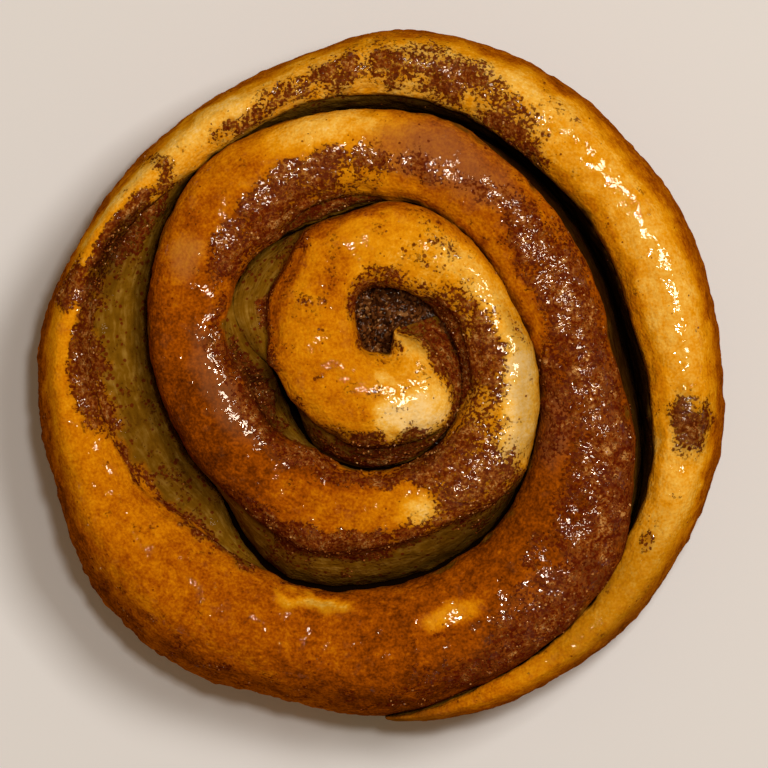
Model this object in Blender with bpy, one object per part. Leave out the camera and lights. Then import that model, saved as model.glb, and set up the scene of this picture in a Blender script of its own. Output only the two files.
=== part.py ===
"""Cinnamon roll: one strip of risen dough wound three and a quarter turns round its cinnamon filling.

The dough is a single solid whose cross-section is carried along the winding. The filling is a second
solid: a plug in the pit at the middle, and from it a thin layer between the turns. Turns are counted
from +X, clockwise as seen from above, and radii are taken from the pole of the spiral. Sizes and
tables are in millimetres, and the model is in metres with +Z up.
"""

import math

import bmesh
import bpy
import numpy as np

MM = 0.001

# The outline seen from above: a circle about the origin that swells out and in along the last turn.
# Each swelling has its middle and its half length in turns, and how far it stands out.
ROLL_RADIUS = 54.6
POLE_X = -1.2
POLE_Y = 5.3
OUTLINE_SWELLINGS = [
    (2.29, 0.035, -0.6), (2.365, 0.065, 2.3), (2.632, 0.135, -2.9), (2.80, 0.1, 0.75), (3.15, 0.16, 1.4),
]

# The strip's two ends, and the lengths over which they round off, in turns
START_TURN = -0.05
END_TURN = 3.255
NOSE_TURNS = 0.02
NOSE_PULL = 0.04
TAIL_TURNS = 0.04
TAIL_PULL = 0.4

# Where the crack outside the strip runs, as its radius by turn. Before the strip's start it is the
# edge of the pit.
CRACK_PATH = [
    (-1.06, 3.2), (-1.0, 3.0), (-0.917, 3.1), (-0.833, 1.9), (-0.75, 1.6), (-0.583, 1.9),
    (-0.417, 2.7), (-0.375, 3.9), (-0.333, 6.4), (-0.292, 8.1), (-0.167, 9.6), (-0.083, 10.8),
    (0.0, 12.6), (0.083, 16.2), (0.167, 19.2), (0.25, 20.3), (0.333, 18.9), (0.375, 16.9),
    (0.417, 15.9), (0.458, 16.4), (0.5, 19.8), (0.542, 22.9), (0.583, 23.4), (0.667, 21.1),
    (0.708, 20.9), (0.792, 22.9), (0.875, 22.5), (0.958, 22.9), (1.0, 25.1), (1.083, 29.8),
    (1.167, 35.8), (1.25, 39.1), (1.3, 40.3), (1.333, 38.2), (1.375, 34.2), (1.417, 34.1),
    (1.5, 35.5), (1.583, 37.7), (1.625, 39.0), (1.708, 37.4), (1.792, 37.1), (1.875, 37.2),
    (1.958, 38.5), (2.0, 40.2), (2.083, 48.8), (2.125, 53.1), (2.167, 55.6), (2.208, 57.6),
    (2.229, 58.9), (2.255, 59.5),
]

# Where a crack gapes: middle and half length in turns, and how far the shoulder stands back from it
INNER_GAPES = [
    (-0.07, 0.06, 1.2), (-0.03, 0.14, 4.2), (0.27, 0.14, 4.1), (0.565, 0.1, 5.8), (1.25, 0.14, 6.8),
    (1.93, 0.13, 2.2), (2.045, 0.07, 1.6),
]
OUTER_GAPES = [
    (-0.01, 0.12, 2.4), (0.435, 0.11, 5.2), (0.70, 0.07, 2.8), (1.468, 0.155, 9.9), (1.77, 0.11, 2.5),
    (1.94, 0.1, 1.9), (2.045, 0.06, 1.7),
]
TIGHT_GAPE = 0.3

# Heights by turn: the crest of the strip, and the floor of the crack outside it
CREST_HEIGHT = [
    (-0.05, 38.2), (0.0, 39.6), (0.08, 40.8), (0.2, 42.3), (0.45, 43.0), (0.75, 42.2), (1.0, 41.6),
    (1.25, 41.0), (1.5, 39.4), (1.75, 39.0), (2.0, 39.0), (2.25, 37.6), (2.5, 34.6), (2.75, 34.4),
    (3.0, 34.2), (3.12, 32.5), (3.22, 29.5), (3.255, 27.0),
]
FLOOR_HEIGHT = [
    (-1.0, 32.6), (-0.06, 32.8), (0.0, 33.4), (0.05, 34.2), (0.11, 34.4), (0.16, 33.0), (0.22, 31.0),
    (0.3, 30.5), (0.43, 31.5), (0.46, 36.6), (0.53, 37.0), (0.57, 33.0), (0.75, 30.0), (1.0, 28.5),
    (1.25, 26.0), (1.55, 26.0), (1.75, 23.0), (1.9, 16.5), (2.255, 16.0),
]

# The cross-section
DOME_SHARE = 0.36
DOME_LEAST = 3.4
DOME_MOST = 6.2
DOME_FLATTEST = 1.2
DOME_POWER = 2.3
WALL_LEAST = 0.8
CRACK_BOW = -0.2
BASE_EDGE = 0.7
# The outermost turn's side: widest at RIM_SIDE_HEIGHT, and tucked in below it
RIM_BOW = 0.25
RIM_SIDE_HEIGHT = 15.5
RIM_FLOOR_HEIGHT = 7.0
RIM_FLOOR_TUCK = 1.2
RIM_TUCK = 3.4
RIM_BASE_EDGE = 1.7
RIM_BLEND_TURNS = 0.045
RIM_SLOPE_TURNS = 0.09
TUCK_SHARE_MOST = 0.4
BASE_SHARE_MOST = 0.3
DOME_STEPS = 10
WALL_STEPS = 4
STATIONS_PER_TURN = 48
LAST_STEP_LEAST = 0.3

# The filling
FILLING_THICKNESS = 1.0
FILLING_CLEARANCE = 0.3
FILLING_BASE = 0.5
FILLING_END_TURN = 2.2
PLUG_STEPS = STATIONS_PER_TURN - 2

# Half the width of a crack that holds filling, and of the crack past the filling's end
HALF_GAP = FILLING_THICKNESS / 2 + FILLING_CLEARANCE
CLOSED_HALF_GAP = 0.15
CLOSING_START_TURN = FILLING_END_TURN + 1 / STATIONS_PER_TURN
CLOSING_END_TURN = CLOSING_START_TURN + 0.03


def between_keys(keys, turns):
    """Smooth curve through (turn, value) keys: a cubic, level where the values turn back."""
    at, value = (np.array(column, float) for column in zip(*keys))
    step = np.diff(at)
    rise = np.diff(value) / step
    slope = np.concatenate([[rise[0]], (rise[1:] + rise[:-1]) / 2, [rise[-1]]])
    slope[1:-1][rise[1:] * rise[:-1] <= 0] = 0.0
    turns = np.clip(turns, at[0], at[-1])
    k = np.clip(np.searchsorted(at, turns) - 1, 0, len(step) - 1)
    x = (turns - at[k]) / step[k]
    start = value[k] * (1 + 2 * x) + slope[k] * step[k] * x
    end = value[k + 1] * (3 - 2 * x) + slope[k + 1] * step[k] * (x - 1)
    return start * (1 - x) ** 2 + end * x**2


def swell(places, turns):
    """Sum of soft swellings, each given by its middle, its half length and its amount."""
    total = np.zeros_like(turns)
    for middle, half_length, amount in places:
        x = np.clip(np.abs(turns - middle) / half_length, 0, 1)
        total += amount * (1 - x**3) ** 1.5
    return total


def smooth_step(low, high, x):
    """0 below low, 1 above high, and an S curve between."""
    x = np.clip((x - low) / (high - low), 0, 1)
    return x * x * (3 - 2 * x)


def outline_radius(turns):
    """Distance from the pole to the outline: the circle about the origin, and its swellings."""
    angle = -2 * math.pi * turns
    along = POLE_X * np.cos(angle) + POLE_Y * np.sin(angle)
    across = POLE_X * np.sin(angle) - POLE_Y * np.cos(angle)
    circle = -along + np.sqrt(ROLL_RADIUS**2 - across**2)
    return circle + swell(OUTLINE_SWELLINGS, turns)


def rounding(from_end, length):
    """0 along the strip, rising in a quarter circle to 1 over this length before its end."""
    x = 1 - np.clip(from_end / length, 0, 1)
    return 1 - np.sqrt(1 - x**2)


def station_turns(start, end):
    """Turns from start to end at even steps, the last one shorter. The two solids share the steps."""
    step = 1 / STATIONS_PER_TURN
    return np.append(np.arange(start, end - LAST_STEP_LEAST * step, step), end)


def half_gap(turns):
    """Half the width of the crack, which closes past the end of the filling."""
    closed = smooth_step(CLOSING_START_TURN, CLOSING_END_TURN, turns)
    return HALF_GAP - (HALF_GAP - CLOSED_HALF_GAP) * closed


def section_sizes(turns):
    """The sizes of the cross-section at each turn: radii from the pole and heights."""
    rim = smooth_step(END_TURN - 1, END_TURN - 1 + RIM_BLEND_TURNS, turns)
    outline = outline_radius(turns)
    inside, outside = between_keys(CRACK_PATH, turns - 1), between_keys(CRACK_PATH, turns)
    inner_gap, outer_gap = half_gap(turns - 1), half_gap(turns)
    size = {
        "inner_foot": inside + inner_gap,
        "inner_crack": inside + inner_gap,
        "inner_shoulder": inside + np.minimum(TIGHT_GAPE, inner_gap) + swell(OUTER_GAPES, turns - 1),
        "outer_shoulder": outside - np.minimum(TIGHT_GAPE, outer_gap) - swell(INNER_GAPES, turns),
        "outer_crack": outside - outer_gap,
        "outer_foot": outside - outer_gap,
    }
    tuck_most = TUCK_SHARE_MOST * (outline - size["inner_foot"])
    for name, tuck in (("outer_shoulder", 0), ("outer_crack", RIM_FLOOR_TUCK), ("outer_foot", RIM_TUCK)):
        size[name] = (1 - rim) * size[name] + rim * (outline - np.minimum(tuck, tuck_most))
    crest = between_keys(CREST_HEIGHT, turns)
    width = size["outer_shoulder"] - size["inner_shoulder"]
    dome = np.clip(DOME_SHARE * width, DOME_LEAST, DOME_MOST)
    size["crest"] = crest
    size["inner_bow"] = np.full_like(crest, CRACK_BOW)
    size["outer_bow"] = (1 - rim) * CRACK_BOW + rim * RIM_BOW
    size["base_edge"] = (1 - rim) * BASE_EDGE + rim * RIM_BASE_EDGE
    slope = smooth_step(END_TURN - 1 - RIM_SLOPE_TURNS, END_TURN - 1 + RIM_BLEND_TURNS, turns)
    size["inner_dome"] = dome
    size["outer_dome"] = (1 - slope) * dome + slope * (crest - RIM_SIDE_HEIGHT)
    size["inner_floor"] = between_keys(FLOOR_HEIGHT, turns - 1)
    size["outer_floor"] = (1 - rim) * between_keys(FLOOR_HEIGHT, turns) + rim * RIM_FLOOR_HEIGHT
    for side in ("inner", "outer"):
        room = np.maximum(crest - size[f"{side}_floor"] - WALL_LEAST, DOME_FLATTEST)
        size[f"{side}_dome"] = np.minimum(size[f"{side}_dome"], room)
        lowest_top = crest - size[f"{side}_dome"] - WALL_LEAST
        size[f"{side}_floor"] = np.minimum(size[f"{side}_floor"], lowest_top)
    nose = NOSE_PULL * rounding(turns - START_TURN, NOSE_TURNS)
    tail = TAIL_PULL * rounding(END_TURN - turns, TAIL_TURNS)
    middle = (size["inner_crack"] + size["outer_crack"]) / 2
    for part in ("foot", "crack", "shoulder"):
        inner, outer = size[f"inner_{part}"], size[f"outer_{part}"]
        size[f"inner_{part}"] = inner + nose * (middle - inner)
        size[f"outer_{part}"] = outer + (nose + tail) * (middle - outer)
    return size


def wall(size, side):
    """Points up one side of the section: foot, crack's floor, and the slope up to the shoulder."""
    foot, crack, shoulder = (size[f"{side}_{part}"] for part in ("foot", "crack", "shoulder"))
    floor, top = size[f"{side}_floor"], size["crest"] - size[f"{side}_dome"]
    points = [(foot, np.full_like(foot, BASE_EDGE)), (crack, floor)]
    for share in np.arange(1, WALL_STEPS) / WALL_STEPS:
        lean = share + size[f"{side}_bow"] * math.sin(math.pi * share)
        points.append((crack + (shoulder - crack) * lean, floor + (top - floor) * share))
    return points


def dome(size):
    """Points over the crest, from the inner shoulder to the outer, on a squared ellipse."""
    centre = (size["inner_shoulder"] + size["outer_shoulder"]) / 2
    half_width = (size["outer_shoulder"] - size["inner_shoulder"]) / 2
    points = []
    for angle in np.linspace(0, math.pi, DOME_STEPS + 1):
        cosine = math.cos(angle)
        across = -math.copysign(abs(cosine) ** (2 / DOME_POWER), cosine)
        rise = math.sin(angle) ** (2 / DOME_POWER)
        drop = size["inner_dome"] if across < 0 else size["outer_dome"]
        points.append((centre + half_width * across, size["crest"] - drop * (1 - rise)))
    return points


def section_loop(size):
    """The closed cross-section at each station, as arrays of radius and height."""
    ground = np.zeros_like(size["crest"])
    most = BASE_SHARE_MOST * (size["outer_foot"] - size["inner_foot"])
    inner_base = size["inner_foot"] + np.minimum(BASE_EDGE, most)
    outer_base = size["outer_foot"] - np.minimum(size["base_edge"], most)
    inner, outer = wall(size, "inner"), wall(size, "outer")
    points = [(inner_base, ground), *inner, *dome(size), *outer[::-1], (outer_base, ground)]
    return np.stack([p[0] for p in points], 1), np.stack([p[1] for p in points], 1)


def from_pole(turns, radius, shift):
    """X and Y, in metres, of points at these turns and radii from the pole."""
    angle = -2 * math.pi * turns
    x = POLE_X + shift[0] + radius * np.cos(angle)
    y = POLE_Y + shift[1] + radius * np.sin(angle)
    return x * MM, y * MM


def new_object(name, bm, colour, roughness):
    """A mesh object from bm, smooth-shaded, with a material of its own."""
    bmesh.ops.recalc_face_normals(bm, faces=bm.faces)
    mesh = bpy.data.meshes.new(name)
    bm.to_mesh(mesh)
    bm.free()
    material = bpy.data.materials.new(name)
    material.use_nodes = True
    shader = material.node_tree.nodes["Principled BSDF"]
    shader.inputs["Base Color"].default_value = (*colour, 1.0)
    shader.inputs["Roughness"].default_value = roughness
    mesh.materials.append(material)
    mesh.shade_smooth()
    mesh.set_sharp_from_angle(angle=math.radians(50))
    obj = bpy.data.objects.new(name, mesh)
    bpy.context.scene.collection.objects.link(obj)
    return obj


def strip_points(shift):
    """The strip's surface: for each station along it, the points round its cross-section."""
    turns = station_turns(START_TURN, END_TURN)
    radius, height = section_loop(section_sizes(turns))
    x, y = from_pole(turns[:, None], radius, shift)
    return np.stack([x, y, height * MM], 2)


def centring_shift():
    """What moves the roll so that its box, seen from above, is centred on the origin."""
    points = strip_points((0.0, 0.0))
    middle = (points.max((0, 1)) + points.min((0, 1))) / 2 / MM
    return -middle[0], -middle[1]


def make_dough(shift):
    """The strip: a ring of vertices at each station, bridged to the next, and a cap at each end."""
    points = strip_points(shift)
    bm = bmesh.new()
    rings = [[bm.verts.new(point) for point in ring] for ring in points]
    around = len(rings[0])
    for here, there in zip(rings, rings[1:]):
        for j in range(around):
            after = (j + 1) % around
            bm.faces.new((here[j], here[after], there[after], there[j]))
    bm.faces.new(rings[0])
    bm.faces.new(rings[-1])
    new_object("dough", bm, (0.62, 0.28, 0.05), 0.45)


def make_filling(shift):
    """The plug and the layer: a flat net of faces, and the same net raised, joined by walls."""
    turns = station_turns(START_TURN - 1, FILLING_END_TURN)
    path = between_keys(CRACK_PATH, turns)
    height = between_keys(FLOOR_HEIGHT, turns)
    bm = bmesh.new()

    def column(turn, radius, top):
        x, y = from_pole(turn, radius, shift)
        return bm.verts.new((x, y, FILLING_BASE * MM)), bm.verts.new((x, y, top * MM))

    outer = [column(*at) for at in zip(turns, path + FILLING_THICKNESS / 2, height)]
    inner = [column(*at) for at in list(zip(turns, path - FILLING_THICKNESS / 2, height))[PLUG_STEPS + 1:]]
    pole = column(turns[0], 0.0, height[0])
    outline = outer + inner[::-1] + [pole]
    for (low, high), (next_low, next_high) in zip(outline, outline[1:] + outline[:1]):
        bm.faces.new((low, next_low, next_high, high))
    layer = list(zip(outer[PLUG_STEPS + 1:], inner))
    for level in (0, 1):
        for a, b in zip(outer[:PLUG_STEPS], outer[1:]):
            bm.faces.new((pole[level], a[level], b[level]))
        bm.faces.new((pole[level], outer[PLUG_STEPS][level], inner[0][level]))
        bm.faces.new((outer[PLUG_STEPS][level], outer[PLUG_STEPS + 1][level], inner[0][level]))
        for (a, d), (b, c) in zip(layer, layer[1:]):
            bm.faces.new((a[level], b[level], c[level], d[level]))
    new_object("cinnamon_filling", bm, (0.09, 0.03, 0.012), 0.5)


def main():
    for obj in list(bpy.data.objects):
        bpy.data.objects.remove(obj)
    shift = centring_shift()
    make_dough(shift)
    make_filling(shift)


main()
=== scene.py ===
"""Cinnamon roll: the baked, glazed surface of one long strip of dough wound round its filling.

Sizes are in millimetres until a mesh is made, and in metres from then on. Places on the roll are
given as (turn, across): turns are counted from +X, clockwise seen from above, outwards from the
middle, and across is -2 at the floor of the crack inside the strip, -1 at its inner shoulder, 0 on
its crest, 1 at its outer shoulder and 2 at the floor of the crack outside it.
"""

import logging
import math
from dataclasses import dataclass
from enum import Enum
from itertools import combinations
from typing import Sequence

import bpy
import numpy as np
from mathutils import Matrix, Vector

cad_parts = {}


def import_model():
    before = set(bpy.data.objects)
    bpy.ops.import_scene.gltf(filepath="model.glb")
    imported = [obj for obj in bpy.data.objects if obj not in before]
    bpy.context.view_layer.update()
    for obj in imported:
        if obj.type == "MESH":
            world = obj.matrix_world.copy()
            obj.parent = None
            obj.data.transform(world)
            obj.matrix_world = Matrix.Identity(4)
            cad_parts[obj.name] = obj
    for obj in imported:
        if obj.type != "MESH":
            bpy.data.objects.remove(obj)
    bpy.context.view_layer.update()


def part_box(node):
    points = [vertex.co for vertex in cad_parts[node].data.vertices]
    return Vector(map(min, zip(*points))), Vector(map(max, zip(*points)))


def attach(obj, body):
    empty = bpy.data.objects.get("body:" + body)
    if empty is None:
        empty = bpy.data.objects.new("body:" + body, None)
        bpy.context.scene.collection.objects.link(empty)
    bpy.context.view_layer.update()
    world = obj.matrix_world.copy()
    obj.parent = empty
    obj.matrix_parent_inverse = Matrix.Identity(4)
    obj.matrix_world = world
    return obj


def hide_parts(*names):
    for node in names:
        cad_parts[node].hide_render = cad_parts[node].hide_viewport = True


MM = 0.001
BODY = "root"
NOISE_SEED = 7
TINY = 1e-9
# Shares of a patch's radius where it starts to fade and where it ends
PATCH_FADE = (0.4, 1.4)
# Shifts in millimetres that keep the patterns read from one lattice of noise apart
NEXT_LAYER, DRIFT_ALONG, DRIFT_ACROSS, CLUMPS = 7.3, 3.0, 47.0, 5.0
WRINKLES, FLANK, GRIT, HEAPS = 31.0, 71.0, 11.0, 23.0
# Loose grains lie on the dough above this height, where the normal's z is over this, and no
# deeper in a crack than this step across
GRAINS_ABOVE, GRAINS_SLOPE, GRAINS_WITHIN = 26.0, 0.2, 1.6

FloatArray = np.ndarray
Fields = dict[str, FloatArray]
Range = tuple[float, float]
# Mostly pairs of turn and value
Keys = tuple[tuple[float, float], ...]
# Mostly swellings: middle and half length in turns, and amount
Triples = tuple[tuple[float, float, float], ...]
# Positions on a colour ramp and sRGB hex colours
Stops = tuple[tuple[float, str], ...]
Inputs = Sequence[object] | dict[str | int, object]
Socket = bpy.types.NodeSocket
LOG = logging.getLogger("cinnamon_roll")


def linear(hex_colour: str) -> tuple[float, float, float, float]:
    """Linear RGBA of an sRGB hex colour such as "#RRGGBB", with alpha 1."""
    channels = [int(hex_colour[k:k + 2], 16) / 255 for k in (1, 3, 5)]
    return (*(c / 12.92 if c <= 0.04045 else ((c + 0.055) / 1.055) ** 2.4 for c in channels), 1.0)


def smooth_step(low: float, high: float, x: FloatArray) -> FloatArray:
    """0 below low, 1 above high, and 3x^2 - 2x^3 between, in the shape of x."""
    x = np.clip((x - low) / (high - low), 0, 1)
    return x * x * (3 - 2 * x)


def between_keys(keys: Keys, turns: FloatArray) -> FloatArray:
    """Smooth curve through (turn, value) keys: a cubic Hermite, level where the values turn back.

    Args:
        keys: The (turn, value) pairs, in order of turn.
        turns: Where to read the curve; turns outside the keys take the end values.

    Returns:
        The curve's values, in the shape of turns.
    """
    at, value = (np.array(column, float) for column in zip(*keys))
    step = np.diff(at)
    rise = np.diff(value) / step
    slope = np.concatenate([[rise[0]], (rise[1:] + rise[:-1]) / 2, [rise[-1]]])
    slope[1:-1][rise[1:] * rise[:-1] <= 0] = 0.0
    turns = np.clip(turns, at[0], at[-1])
    k = np.clip(np.searchsorted(at, turns) - 1, 0, len(step) - 1)
    x = (turns - at[k]) / step[k]
    start = value[k] * (1 + 2 * x) + slope[k] * step[k] * x
    end = value[k + 1] * (3 - 2 * x) + slope[k + 1] * step[k] * (x - 1)
    return start * (1 - x) ** 2 + end * x**2


def swell(places: Triples, turns: FloatArray) -> FloatArray:
    """Sum of soft swellings, each amount * (1 - |x|^3)^1.5 over its half length.

    Args:
        places: The (middle, half length, amount) of each swelling, lengths in turns.
        turns: Where to read the sum.

    Returns:
        The sum, in the shape of turns.
    """
    total = np.zeros_like(turns)
    for middle, half_length, amount in places:
        x = np.clip(np.abs(turns - middle) / half_length, 0, 1)
        total += amount * (1 - x**3) ** 1.5
    return total


class SolidNoise:
    """Smooth random values in space, from a lattice of seeded random numbers."""

    SIZE: int = 64

    def __init__(self, seed: int) -> None:
        """Fill the lattice from a seed."""
        draw = np.random.default_rng(seed)
        self.lattice = draw.uniform(-1, 1, (self.SIZE,) * 3).astype(np.float32)

    def at(self, points: FloatArray, wavelength: float) -> FloatArray:
        """Value noise: the lattice read at points / wavelength, blended by quintic steps.

        Args:
            points: Positions, with x, y and z along the last axis.
            wavelength: Distance between lattice points, in the unit of the positions.

        Returns:
            Values from -1 to 1, in the shape of the points without their last axis.
        """
        scaled = np.asarray(points) / wavelength
        whole = np.floor(scaled).astype(int)
        part = scaled - whole
        part = part**3 * (part * (part * 6 - 15) + 10)
        total = np.zeros(scaled.shape[:-1])
        for corner in np.ndindex(2, 2, 2):
            weight = np.prod(np.where(corner, part, 1 - part), axis=-1)
            i, j, k = np.moveaxis((whole + corner) % self.SIZE, -1, 0)
            total += weight * self.lattice[i, j, k]
        return total

    def layered(self, points: FloatArray, wavelength: float, layers: int = 3) -> FloatArray:
        """Sum of noise at halving wavelengths and amplitudes, scaled back to about -1 to 1.

        Args:
            points: Positions, with x, y and z along the last axis.
            wavelength: Wavelength of the coarsest layer.
            layers: How many layers are added.

        Returns:
            Values in the shape of the points without their last axis.
        """
        total = sum(
            self.at(points + NEXT_LAYER * k, wavelength / 2**k) / 2**k for k in range(layers)
        )
        return total / (2 - 2.0 ** (1 - layers))


@dataclass(frozen=True)
class Patch:
    """A soft-edged oval place on the strip, in turns along it and in steps across it."""

    turn: float
    across: float
    half_turns: float
    half_across: float
    amount: float = 1.0

    def strength(self, turns: FloatArray, across: FloatArray) -> FloatArray:
        """amount * smooth fall from the oval's middle: 1 within 40% of its radius, 0 at 140%.

        Args:
            turns: Turn of each point.
            across: Step across the strip of each point.

        Returns:
            The patch's strength at each point.
        """
        along = (turns - self.turn) / self.half_turns
        reach = np.hypot(along, (across - self.across) / self.half_across)
        return self.amount * (1 - smooth_step(*PATCH_FADE, reach))


Patches = tuple[Patch, ...]


def patches(*rows: tuple[float, ...]) -> Patches:
    """Patches from rows of turn, across, half_turns, half_across and amount."""
    return tuple(Patch(*row) for row in rows)


def overlaid(
    layers: Patches, turns: FloatArray, across: FloatArray, base: FloatArray | float = 0.0
) -> FloatArray:
    """Patches laid over a base value in order, each pulling it towards its own sign's limit.

    A positive patch moves the value towards 1 by its strength, a negative one towards 0.

    Args:
        layers: The patches, the last on top.
        turns: Turn of each point.
        across: Step across the strip of each point.
        base: The values where there is no patch.

    Returns:
        Values from 0 to 1.
    """
    value = np.zeros(np.broadcast(turns, across).shape) + base
    for patch in layers:
        strength = patch.strength(turns, across)
        value += np.where(strength > 0, strength * (1 - value), strength * value)
    return value


@dataclass
class Winding:
    """The shape of the strip: where its cracks run, how they gape, and its cross-section.

    The cracks are one spiral round the pole, and the strip lies between one turn of it and the
    next. A gape is how far the shoulder on that side of a crack stands back from it, a tuck is how
    far the rim stands inside the outline, and a bow is how far a wall leans from a straight line.
    Lengths are in millimetres.
    """

    pole: Range = (-1.2, 5.3)
    roll_radius: float = 54.6
    start_turn: float = -0.06
    end_turn: float = 3.243
    nose_turns: float = 0.02
    nose_pull: float = 0.04
    tail_turns: float = 0.03
    tail_pull: float = 0.6
    open_half_gap: float = 0.2
    opening_turns: Range = (0.1, 0.16)
    closing_turns: Range = (2.17, 2.22)
    gap_swellings: Triples = (
        (0.40, 0.06, 0.45), (0.51, 0.065, -0.25), (1.25, 0.13, 0.5),
    )
    tight_gape: float = 0.12
    dome_share: float = 0.36
    dome_least: float = 3.4
    dome_most: float = 6.2
    dome_power: float = 2.3
    dome_flattest: float = 1.2
    wall_least: float = 0.8
    crack_bow: float = -0.2
    rim_bow: float = 0.25
    rim_side_height: float = 15.5
    rim_floor_height: float = 7.0
    rim_floor_tuck: float = 1.2
    rim_tuck: float = 3.4
    rim_blend_turns: float = 0.045
    rim_slope_turns: float = 0.09
    tail_flat: float = 0.7
    tail_flat_turns: Range = (3.06, 3.2)
    tuck_share_most: float = 0.4
    base_edge: float = 0.7
    rim_base_edge: float = 1.7
    base_share_most: float = 0.3
    outline_swellings: Triples = (
        (2.29, 0.035, -0.6), (2.365, 0.065, 2.3), (2.632, 0.135, -2.9), (2.80, 0.1, 0.75),
        (3.15, 0.16, 1.4),
    )
    crack_path: Keys = (
        (-1.06, 3.2), (-1.0, 3.0), (-0.917, 3.1), (-0.833, 1.9), (-0.75, 1.6), (-0.583, 1.9),
        (-0.417, 2.7), (-0.375, 3.9), (-0.333, 6.4), (-0.292, 8.1), (-0.167, 9.6), (-0.083, 10.8),
        (0.0, 12.6), (0.083, 16.2), (0.167, 19.2), (0.25, 20.3), (0.333, 18.9), (0.375, 16.9),
        (0.417, 15.9), (0.458, 16.4), (0.5, 19.8), (0.542, 22.9), (0.583, 23.4), (0.667, 21.1),
        (0.708, 20.9), (0.792, 22.9), (0.875, 22.5), (0.958, 22.9), (1.0, 25.1), (1.083, 29.8),
        (1.167, 35.8), (1.25, 39.1), (1.3, 40.3), (1.333, 38.2), (1.375, 34.2), (1.417, 34.1),
        (1.5, 35.5), (1.583, 37.7), (1.625, 39.0), (1.708, 37.4), (1.792, 37.1), (1.875, 37.2),
        (1.958, 38.5), (2.0, 40.2), (2.083, 48.8), (2.125, 53.1), (2.167, 55.6), (2.208, 57.6),
        (2.229, 59.0), (2.243, 59.6),
    )
    inner_gapes: Triples = (
        (-0.07, 0.06, 3.0), (-0.03, 0.14, 4.2), (0.27, 0.14, 4.1), (0.565, 0.1, 5.8),
        (1.25, 0.14, 6.8), (1.93, 0.13, 2.2), (2.045, 0.07, 1.6),
    )
    outer_gapes: Triples = (
        (-0.01, 0.12, 2.4), (0.435, 0.11, 5.2), (0.70, 0.07, 2.8), (1.468, 0.155, 9.9),
        (1.77, 0.11, 2.5), (1.94, 0.1, 1.9), (2.045, 0.06, 1.7),
    )
    crest_height: Keys = (
        (-0.06, 38.2), (0.0, 39.6), (0.08, 40.8), (0.2, 42.3), (0.45, 43.0), (0.75, 42.2),
        (1.0, 41.6), (1.25, 41.0), (1.5, 39.4), (1.75, 39.0), (2.0, 39.0), (2.25, 37.6),
        (2.5, 34.6), (2.75, 34.4), (3.0, 34.2), (3.12, 32.5), (3.2, 29.8), (3.225, 27.0),
        (3.243, 23.0),
    )
    floor_height: Keys = (
        (-1.0, 32.6), (-0.06, 32.8), (0.0, 33.4), (0.05, 34.2), (0.11, 34.4), (0.16, 33.0),
        (0.22, 31.0), (0.3, 30.5), (0.43, 31.5), (0.46, 36.6), (0.53, 37.0), (0.57, 33.0),
        (0.75, 30.0), (1.0, 28.5), (1.25, 26.0), (1.55, 26.0), (1.75, 23.0), (1.9, 16.5),
        (2.12, 16.5), (2.185, 26.0), (2.22, 24.0), (2.24, 20.5), (2.255, 18.5),
    )

    def outline(self, turns: FloatArray) -> FloatArray:
        """Distance from the pole to a circle about the origin, plus the outline's swellings.

        Args:
            turns: Turns along the strip.

        Returns:
            Radii in the shape of turns.
        """
        angle = -2 * math.pi * turns
        along = self.pole[0] * np.cos(angle) + self.pole[1] * np.sin(angle)
        across = self.pole[0] * np.sin(angle) - self.pole[1] * np.cos(angle)
        circle = -along + np.sqrt(self.roll_radius**2 - across**2)
        return circle + swell(self.outline_swellings, turns)

    def crack(self, turns: FloatArray) -> FloatArray:
        """Radius from the pole of the crack outside the strip."""
        return between_keys(self.crack_path, turns)

    def half_gap(self, turns: FloatArray) -> FloatArray:
        """Half the crack's width, never below 0: none round the pit and past the filling's end."""
        opened = smooth_step(*self.opening_turns, turns) - smooth_step(*self.closing_turns, turns)
        return np.maximum(self.open_half_gap + swell(self.gap_swellings, turns), 0) * opened

    def sizes(self, turns: FloatArray) -> Fields:
        """The sizes of the cross-section at each turn: radii from the pole, and heights.

        The walls stand half a gap inside the two cracks, the shoulders stand back by the gapes, and
        along the last turn the outer side becomes the barrel-shaped rim.

        Args:
            turns: Turns along the strip.

        Returns:
            Arrays by name, each in the shape of turns.
        """
        last = self.end_turn - 1
        rim = smooth_step(last, last + self.rim_blend_turns, turns)
        outline, inside, outside = self.outline(turns), self.crack(turns - 1), self.crack(turns)
        inner_gap, outer_gap = self.half_gap(turns - 1), self.half_gap(turns)
        size = {
            "inner_foot": inside + inner_gap,
            "inner_crack": inside + inner_gap,
            "inner_shoulder": inside + self.tight_gape + swell(self.outer_gapes, turns - 1),
            "outer_shoulder": outside - self.tight_gape - swell(self.inner_gapes, turns),
            "outer_crack": outside - outer_gap,
            "outer_foot": outside - outer_gap,
        }
        tucks = {
            "outer_shoulder": 0.0, "outer_crack": self.rim_floor_tuck, "outer_foot": self.rim_tuck,
        }
        tuck_most = self.tuck_share_most * (outline - size["inner_foot"])
        for name, tuck in tucks.items():
            size[name] = (1 - rim) * size[name] + rim * (outline - np.minimum(tuck, tuck_most))
        crest = between_keys(self.crest_height, turns)
        width = size["outer_shoulder"] - size["inner_shoulder"]
        dome = np.clip(self.dome_share * width, self.dome_least, self.dome_most)
        size["crest"] = crest
        size["inner_bow"] = np.full_like(crest, self.crack_bow)
        size["outer_bow"] = (1 - rim) * self.crack_bow + rim * self.rim_bow
        size["base_edge"] = (1 - rim) * self.base_edge + rim * self.rim_base_edge
        slope = smooth_step(last - self.rim_slope_turns, last + self.rim_blend_turns, turns)
        flat = self.tail_flat * smooth_step(*self.tail_flat_turns, turns)
        size["inner_dome"] = dome * (1 - flat)
        size["outer_dome"] = (1 - slope) * dome + slope * (crest - self.rim_side_height)
        size["inner_floor"] = between_keys(self.floor_height, turns - 1)
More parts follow.
